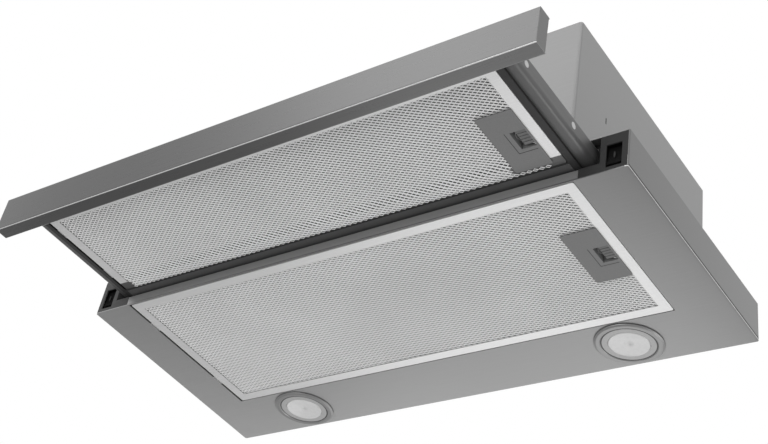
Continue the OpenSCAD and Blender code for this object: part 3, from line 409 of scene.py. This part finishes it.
def expanded_mesh(name, node_name, handle_name, body, hemmed=False):
    """Expanded aluminium: wide leaning strands one way, narrow ones the other way.

    A hemmed sheet steps down and runs on over the frame's rear flange."""
    low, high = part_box(node_name)
    plate_low, plate_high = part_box(handle_name)
    rear_y = FLANGE_REAR_Y if hemmed else high.y
    step_y, inner_x = FLANGE_REAR_Y - STEP_IN, high.x - SIDE_FLANGE
    columns = round((high.x - low.x) / CELL_X)
    rows = round((rear_y - low.y) / (CELL_Y / 2)) - 1
    half_x = (high.x - low.x) / columns / 2
    half_y = (rear_y - low.y) / (rows + 1)
    bm = bmesh.new()
    known = {}

    def middle(x, y):
        """The height of the sheet's middle, which falls along the hem's step."""
        way = min(max((y - step_y) / (STEP_ROWS * half_y) + 1, 0), 1)
        stepped = hemmed and abs(x) < inner_x and (x < plate_low.x or y > plate_high.y)
        return (low.z + high.z) / 2 - (STEP_DROP * way if stepped else 0)

    def corner(x, y):
        """The one point at a corner that neighbouring cells share."""
        key = (round(x * CORNER_KEY), round(y * CORNER_KEY))
        if key not in known:
            known[key] = bm.verts.new((x, y, middle(x, y)))
        return known[key]

    for row in range(rows):
        shift = row % 2
        for column in range(columns - shift):
            x = low.x + half_x * (2 * column + 1 + shift)
            y = low.y + half_y * (row + 1)
            behind_plate = (plate_low.x < x - half_x and x + half_x < plate_high.x
                            and plate_low.y < y - half_y and y + half_y < plate_high.y)
            beside_plate = x + half_x > plate_low.x and y - half_y < plate_high.y
            on_hem = hemmed and y > step_y
            if behind_plate or on_hem and (beside_plate or abs(x) + half_x > inner_x):
                continue
            outer = [corner(x - half_x, y), corner(x, y - half_y),
                     corner(x + half_x, y), corner(x, y + half_y)]
            inner = []
            for p, q in ((-1, -1), (-1, 1), (1, 1), (1, -1)):
                along, across = p * (0.5 - NARROW_SHARE), q * (0.5 - WIDE_SHARE)
                px, py = x + (along + across) * half_x, y + (along - across) * half_y
                inner.append(bm.verts.new((px, py, middle(px, py) - q * LEAN)))
            for k in range(4):
                after = (k + 1) % 4
                bm.faces.new((outer[k], outer[after], inner[after], inner[k]))
    obj = add_piece(name, bm, MATERIALS["mesh_aluminium"], body)
    thick = obj.modifiers.new("sheet", "SOLIDIFY")
    thick.thickness = SHEET
    thick.offset = 0
    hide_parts(node_name)


expanded_mesh("rear_expanded_mesh", "rear_mesh", "rear_handle", "rear_filter")
expanded_mesh("front_expanded_mesh", "front_mesh", "front_handle", "front_filter",
              hemmed=True)

# Turned lamps: the ring's lip, its flat face, its outer slope, its wall and its edges
TURN_STEPS = 96
RING_LIP, RING_STEP, RING_SLOPE = 0.7 * MM, 2.2 * MM, 0.3 * MM
RING_WALL, RING_EDGE = 1 * MM, 0.15 * MM
# The groove's half width, where the painted shade ring sits, the flat glass rim's thickness and
# fall, and the glass behind it
GROOVE, RIM_T, RIM_FALL, GLASS_BACK = 0.6 * MM, 1 * MM, 0.1 * MM, 1.5 * MM
# The lens: its share of the glass, the rim's clearance about it, and its least radius
LENS_SHARE, LENS_CLEAR_SHARE, LENS_HUB = 0.75, 1.02, 0.02 * MM
# The lens from its middle to its edge: share of its radius, height above the rim
BOWL = ((0.3, 1.0 * MM), (0.38, 0.75 * MM), (0.8, 0.55 * MM), (0.93, -0.1 * MM),
        (1, -0.3 * MM))


def lathe(centre, profile):
    """A bmesh turned from a closed profile of (radius, height) about the axis at centre."""
    bm = bmesh.new()
    rings = []
    for step in range(TURN_STEPS):
        angle = 2 * math.pi * step / TURN_STEPS
        rings.append([bm.verts.new((centre.x + r * math.cos(angle),
                                    centre.y + r * math.sin(angle), z)) for r, z in profile])
    for step in range(TURN_STEPS):
        here, after = rings[step], rings[(step + 1) % TURN_STEPS]
        for k in range(len(profile)):
            n = (k + 1) % len(profile)
            bm.faces.new((here[k], here[n], after[n], after[k]))
    return bm


def lamp(side):
    """A lamp: turned satin ring, painted shade in the groove by the glass, flat glass rim, and a
    lens with a shallow bowl.
    """
    ring_low, ring_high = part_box("lamp_ring_" + side)
    glass_low, glass_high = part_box("lamp_glass_" + side)
    centre = (ring_low + ring_high) / 2
    outer = (ring_high.x - ring_low.x) / 2
    rim = (glass_high.x - glass_low.x) / 2
    face, back = ring_low.z, ring_high.z
    floor, shoulder = face + RING_LIP, face + 2 * RING_LIP
    bore, glass = rim + GROOVE, rim - GROOVE
    lens = rim * LENS_SHARE
    clear = lens * LENS_CLEAR_SHARE
    ring = add_piece("lamp_turned_ring_" + side, lathe(centre, [
        (outer, shoulder), (outer - RING_SLOPE, floor), (outer - RING_STEP, face),
        (bore + RING_LIP, face), (bore, floor), (bore, back), (bore + RING_WALL, back),
        (bore + GROOVE + RING_WALL, shoulder)]), MATERIALS["satin_ring"], "hood")
    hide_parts("lamp_ring_" + side)
    add_piece("lamp_groove_shade_" + side, lathe(centre, [
        (glass, floor), (bore, floor), (bore, shoulder), (glass, shoulder)]),
        GROOVE_SHADE, "hood")
    add_piece("lamp_glass_rim_" + side, lathe(centre, [
        (clear, floor), (glass, floor - RIM_FALL), (glass, floor + RIM_T),
        (clear, floor + RIM_T)]), GLASS_RIM, "hood")
    bowl = [(lens * share, floor + height) for share, height in BOWL]
    stepped = add_piece("lamp_stepped_glass_" + side, lathe(centre, [
        (LENS_HUB, bowl[0][1]), *bowl, (lens, floor + GLASS_BACK), (glass, floor + GLASS_BACK),
        (glass, glass_high.z), (LENS_HUB, glass_high.z)]),
        MATERIALS["frosted_glass"], "hood")
    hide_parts("lamp_glass_" + side)
    for polygon in stepped.data.polygons:
        polygon.use_smooth = True
    round_edges(ring, RING_EDGE)


lamp("left")
lamp("right")

# The stroke on a rocker: half its width, half its height, half its thickness, how deep its
# middle lies in the rocker, and its facets
STROKE_W, STROKE_H, STROKE_T, STROKE_IN = 0.9 * MM, 3.4 * MM, 0.12 * MM, 0.55 * MM
STROKE_SEGMENTS, STROKE_RINGS = 24, 12


def rocker_mark(node_name, body):
    """The long stroke moulded into a rocker."""
    low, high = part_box(node_name)
    middle = Vector(((low.x + high.x) / 2, low.y + STROKE_IN, (low.z + high.z) / 2))
    bm = bmesh.new()
    made = bmesh.ops.create_uvsphere(bm, u_segments=STROKE_SEGMENTS, v_segments=STROKE_RINGS,
                                     radius=1)["verts"]
    bmesh.ops.scale(bm, verts=made, vec=(STROKE_W, STROKE_T, STROKE_H))
    bmesh.ops.translate(bm, verts=made, vec=middle)
    add_piece(node_name + "_mark", bm, INK, body)


rocker_mark("rocker_light", "light_rocker")
rocker_mark("rocker_fan", "fan_rocker")

# The painted shadow line that frames a finger pocket at its step: its width, its height over the
# plate, and how far it lies from the latch at the left, the front and the rear, and from the
# plate's right edge
LINE_W, LINE_T = 0.5 * MM, 0.1 * MM
LINE_LEFT, LINE_FRONT, LINE_REAR, LINE_RIGHT = 9.5 * MM, 1.0 * MM, 7.5 * MM, 2.5 * MM


def pocket_outline(node_name, latch_name, body):
    """A painted shadow line on the shallow stepped edge that frames a handle's finger pocket on
    two sides.
    """
    low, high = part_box(node_name)
    latch_low, latch_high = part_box(latch_name)
    left, right = latch_low.x - LINE_LEFT, high.x - LINE_RIGHT
    front, rear = latch_low.y - LINE_FRONT, latch_high.y + LINE_REAR
    bm = bmesh.new()
    block(bm, (left, front, low.z - LINE_T), (left + LINE_W, rear, low.z + LINE_T))
    block(bm, (left, rear - LINE_W, low.z - LINE_T), (right, rear, low.z + LINE_T))
    add_piece(node_name + "_pocket_shadow_line", bm, SHADOW_LINE, body)


# The painted shadow that stands for the slit in the housing's side: its place, its size and how
# far it stands out and in
SLIT_Y, SLIT_Z = 0.0, 117 * MM
SLIT_W, SLIT_H, SLIT_T = 1.6 * MM, 7 * MM, 0.05 * MM


def side_slit(side, face_x):
    """A painted shadow for the slit low on a side of the housing, where the photograph shows it.
    """
    bm = bmesh.new()
    block(bm, (face_x - SLIT_T, SLIT_Y - SLIT_W / 2, SLIT_Z - SLIT_H / 2),
          (face_x + SLIT_T, SLIT_Y + SLIT_W / 2, SLIT_Z + SLIT_H / 2))
    add_piece("housing_slit_shadow_" + side, bm, SHADOW_LINE, "hood")


HOUSING_LOW, HOUSING_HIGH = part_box("housing")
side_slit("right", HOUSING_HIGH.x)
side_slit("left", HOUSING_LOW.x)

# The strip under the visor's rear bar: its depth, its inset at each end, its thickness and its
# rounding
STRIP_D, STRIP_IN, STRIP_T, STRIP_EDGE = 20 * MM, 6 * MM, 0.25 * MM, 0.1 * MM


def visor_strip():
    """The brushed strip under the visor's rear bar."""
    low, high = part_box("visor")
    bm = bmesh.new()
    block(bm, (low.x + STRIP_IN, high.y - STRIP_D, low.z - STRIP_T),
          (high.x - STRIP_IN, high.y, low.z))
    strip = add_piece("visor_rear_strip", bm, MATERIALS["slide_steel"], "visor")
    round_edges(strip, STRIP_EDGE)


visor_strip()
pocket_outline("rear_handle", "rear_latch", "rear_filter")
pocket_outline("front_handle", "front_latch", "front_filter")

# ---------------------------------------------------------------- studio

WORLD_LEVEL = 0.47
# The floor lies far below, so that the hood can be seen from beneath
FLOOR_Z, FLOOR_HALF, FLOOR_GREY, FLOOR_ROUGH, FLOOR_GLOW = -3.5, 11.2, 0.8, 0.9, 0.45
# Soft lamps: place, what they look at, size and power
LIGHTS = {
    "key": ((0.0, -2.1, -0.5), (0.1, 0, 0.05), 1.6, 16),
    "gleam": ((-0.55, 1.3, -1.0), (0.05, 0.1, 0.0), 0.9, 2.8),
    "fill": ((0.9, 1.3, -1.2), (0.05, 0.1, 0.0), 1.0, 10),
    "glint": ((-0.4, -1.0, 1.0), (0.1, -0.2, 0.0), 0.7, 1.5),
    "top": ((0.4, -0.5, 2.2), (0, 0, 0.1), 2.0, 22),
}


def area_light(name, place, aim, size, power):
    """A soft square lamp that looks at a point."""
    data = bpy.data.lights.new(name, "AREA")
    data.size = size
    data.energy = power
    light = bpy.data.objects.new(name, data)
    light.location = place
    light.rotation_euler = (Vector(aim) - Vector(place)).to_track_quat("-Z", "Y").to_euler()
    bpy.context.scene.collection.objects.link(light)


def pale_world():
    """Plain grey light, seen as white by the camera, by gloss and through glass."""
    world = bpy.data.worlds.new("studio")
    bpy.context.scene.world = world
    world.use_nodes = True
    nodes, links = world.node_tree.nodes, world.node_tree.links
    rays = nodes.new("ShaderNodeLightPath").outputs
    seen = combine(nodes, links, "MAXIMUM", rays["Is Camera Ray"], rays["Is Glossy Ray"])
    seen = combine(nodes, links, "MAXIMUM", seen, rays["Is Transmission Ray"])
    strength = nodes.new("ShaderNodeMapRange")
    strength.inputs["To Min"].default_value = WORLD_LEVEL
    strength.inputs["To Max"].default_value = 1.0
    links.new(seen, strength.inputs["Value"])
    background = nodes["Background"]
    background.inputs["Color"].default_value = (1, 1, 1, 1)
    links.new(strength.outputs["Result"], background.inputs["Strength"])


def pale_floor():
    """A plain pale floor, which glows a little for the camera so that it shows as white."""
    bm = bmesh.new()
    bmesh.ops.create_grid(bm, x_segments=2, y_segments=2, size=FLOOR_HALF)
    mesh = bpy.data.meshes.new("floor")
    bm.to_mesh(mesh)
    bm.free()
    floor = bpy.data.objects.new("floor", mesh)
    floor.location = (0, 0, FLOOR_Z)
    bpy.context.scene.collection.objects.link(floor)
    paint = moulded("floor_paint", FLOOR_GREY, FLOOR_ROUGH, strength=0.0)
    nodes, links = paint.node_tree.nodes, paint.node_tree.links
    camera_ray = nodes.new("ShaderNodeLightPath").outputs["Is Camera Ray"]
    surface = nodes["Principled BSDF"]
    surface.inputs["Emission Color"].default_value = (1, 1, 1, 1)
    links.new(combine(nodes, links, "MULTIPLY", camera_ray, FLOOR_GLOW),
              surface.inputs["Emission Strength"])
    dress(floor, paint)


pale_world()
pale_floor()
for light_name, settings in LIGHTS.items():
    area_light(light_name, *settings)

# ---------------------------------------------------------------- camera

# Solved from the photograph's corners, in degrees, metres and the photograph's pixels
PHOTO_W, SENSOR_MM, FOCAL_PX = 768, 36.0, 1357.8
AZIMUTH, ELEVATION, ROLL = 47.0157, 39.2924, 15.4581
TARGET = Vector((0, 0.045, 0.002))
ASIDE, ALOFT, DISTANCE = 0.106769, -0.150837, 1.300457
SHIFT_RIGHT_PX, SHIFT_DOWN_PX = 110, 70


def photo_camera():
    """The camera of the photograph: it looks up from the front right."""
    turn, tilt, roll = math.radians(-AZIMUTH), math.radians(ELEVATION), math.radians(ROLL)
    ahead = Vector((math.sin(turn) * math.cos(tilt), math.cos(turn) * math.cos(tilt),
                    math.sin(tilt)))
    level = ahead.cross(Vector((0, 0, 1))).normalized()
    upright = level.cross(ahead)
    right = level * math.cos(roll) + upright * math.sin(roll)
    up = upright * math.cos(roll) - level * math.sin(roll)
    data = bpy.data.cameras.new("camera")
    data.sensor_width = SENSOR_MM
    data.lens = FOCAL_PX * SENSOR_MM / PHOTO_W
    data.shift_x = SHIFT_RIGHT_PX / PHOTO_W
    data.shift_y = -SHIFT_DOWN_PX / PHOTO_W
    camera = bpy.data.objects.new("camera", data)
    place = TARGET - right * ASIDE - up * ALOFT - ahead * DISTANCE
    facing = Matrix((right, up, -ahead)).transposed()
    camera.matrix_world = Matrix.Translation(place) @ facing.to_4x4()
    bpy.context.scene.collection.objects.link(camera)
    bpy.context.scene.camera = camera


photo_camera()
bpy.context.scene.view_settings.view_transform = "Standard"
